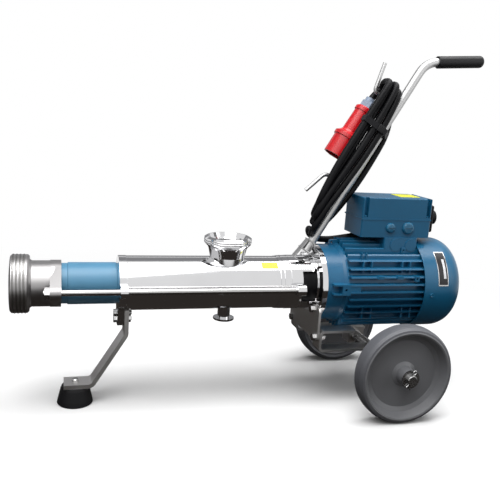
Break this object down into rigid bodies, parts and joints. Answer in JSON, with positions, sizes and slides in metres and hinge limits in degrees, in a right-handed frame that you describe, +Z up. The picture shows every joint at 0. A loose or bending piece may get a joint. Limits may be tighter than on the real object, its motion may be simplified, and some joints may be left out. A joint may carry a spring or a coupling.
{
  "type": "progressive cavity pump",
  "caption": "Motor-driven progressive cavity pump on a two-wheeled trolley, with a push handle, hung mains cable and round-thread pipe unions.",
  "frame": {"origin": "centre of the footprint on the floor, without the hung cable and its plug", "axes": "+X from the outlet to the motor along the pump's axis, +Y to the far side, +Z up"},
  "size_m": [0.9434, 0.418, 0.7326],
  "materials": {
    "polished_steel": "mirror polished stainless steel",
    "satin_steel": "satin stainless steel",
    "bright_steel": "ground steel",
    "stator_paint": "satin light blue paint",
    "motor_paint": "semi-gloss petrol blue paint",
    "box_plastic": "smooth petrol blue plastic",
    "black_plastic": "matte black plastic",
    "black_rubber": "matte black rubber",
    "cable_rubber": "matte black rubber sheath",
    "wheel_grey": "moulded grey plastic",
    "tyre_grey": "solid grey rubber",
    "plug_red": "semi-gloss red plastic",
    "gland_grey": "grey plastic",
    "core_steel": "laminated steel with windings",
    "seal_ceramic": "lapped ceramic and carbon"
  },
  "bodies": {
    "root": {"outlet_connector": "satin_steel", "stator_tube": "stator_paint", "stator_lining": "black_rubber", "suction_housing": "polished_steel", "inlet_union": "polished_steel", "drain_plug": "polished_steel", "lantern": "polished_steel", "guard_sleeve": "black_plastic", "tie_rods": "bright_steel", "tie_rod_nuts": "bright_steel", "flange_bolts": "bright_steel", "seal_seat": "seal_ceramic", "motor_end_shield": "motor_paint", "motor_housing": "motor_paint", "motor_stator_core": "core_steel", "motor_rear_shield": "motor_paint", "motor_bearings": "bright_steel", "fan_cover": "motor_paint", "terminal_base": "motor_paint", "control_box_base": "box_plastic", "control_box_lid": "box_plastic", "blanking_plugs": "box_plastic", "lid_screws": "bright_steel", "switch_plate": "black_plastic", "cable_gland": "black_plastic", "handle_bracket": "satin_steel", "handle_tube": "satin_steel", "handle_grip": "black_rubber", "leg_strap": "satin_steel", "leg_bolts": "bright_steel", "rubber_foot": "black_rubber", "trolley_plate": "satin_steel", "frame_loop_near": "satin_steel", "frame_loop_far": "satin_steel", "frame_bolts": "bright_steel", "axle": "satin_steel", "axle_washers": "bright_steel", "split_pins": "bright_steel", "cable_hank": "cable_rubber", "cable_strap": "black_rubber", "power_cable": "cable_rubber", "plug_body": "plug_red", "plug_gland": "gland_grey", "plug_lead": "cable_rubber"},
    "drive_line": {"motor_shaft": "bright_steel", "motor_rotor_core": "core_steel", "cooling_fan": "black_plastic", "pump_shaft": "bright_steel", "seal_ring": "seal_ceramic", "drive_pin": "bright_steel"},
    "boots": {"joint_boots": "black_rubber"},
    "rod": {"coupling_rod": "bright_steel"},
    "rotor": {"rotor": "polished_steel", "rotor_pin": "bright_steel"},
    "wheel_near": {"wheel_near": "wheel_grey", "tyre_near": "tyre_grey"},
    "wheel_far": {"wheel_far": "wheel_grey", "tyre_far": "tyre_grey"},
    "switch": {"switch_knob": "black_plastic"}
  },
  "joints": [
    {"name": "drive_shaft_spin", "type": "hinge", "parent": "root", "child": "drive_line", "pos_m": [0.1335, 0, 0.244], "axis": [1, 0, 0], "continuous": true},
    {"name": "boot_orbit", "type": "hinge", "parent": "root", "child": "boots", "pos_m": [0.1335, 0, 0.244], "axis": [1, 0, 0], "continuous": true},
    {"name": "rod_turn", "type": "hinge", "parent": "boots", "child": "rod", "pos_m": [0.0215, 0, 0.244], "axis": [0.9997, -0.0227, 0], "continuous": true},
    {"name": "rotor_turn", "type": "hinge", "parent": "boots", "child": "rotor", "pos_m": [-0.2425, 0.006, 0.244], "axis": [1, 0, 0], "continuous": true},
    {"name": "wheel_near_spin", "type": "hinge", "parent": "root", "child": "wheel_near", "pos_m": [0.2705, -0.17, 0.1], "axis": [0, 1, 0], "continuous": true},
    {"name": "wheel_far_spin", "type": "hinge", "parent": "root", "child": "wheel_far", "pos_m": [0.2705, 0.17, 0.1], "axis": [0, 1, 0], "continuous": true},
    {"name": "switch_turn", "type": "hinge", "parent": "root", "child": "switch", "pos_m": [0.3695, 0, 0.387], "axis": [1, 0, 0], "range_deg": [0, 90]}
  ],
  "couplings": [
    {"joint": "boot_orbit", "follows": "drive_shaft_spin", "ratio": -1},
    {"joint": "rod_turn", "follows": "drive_shaft_spin", "ratio": 2},
    {"joint": "rotor_turn", "follows": "drive_shaft_spin", "ratio": 2}
  ]
}
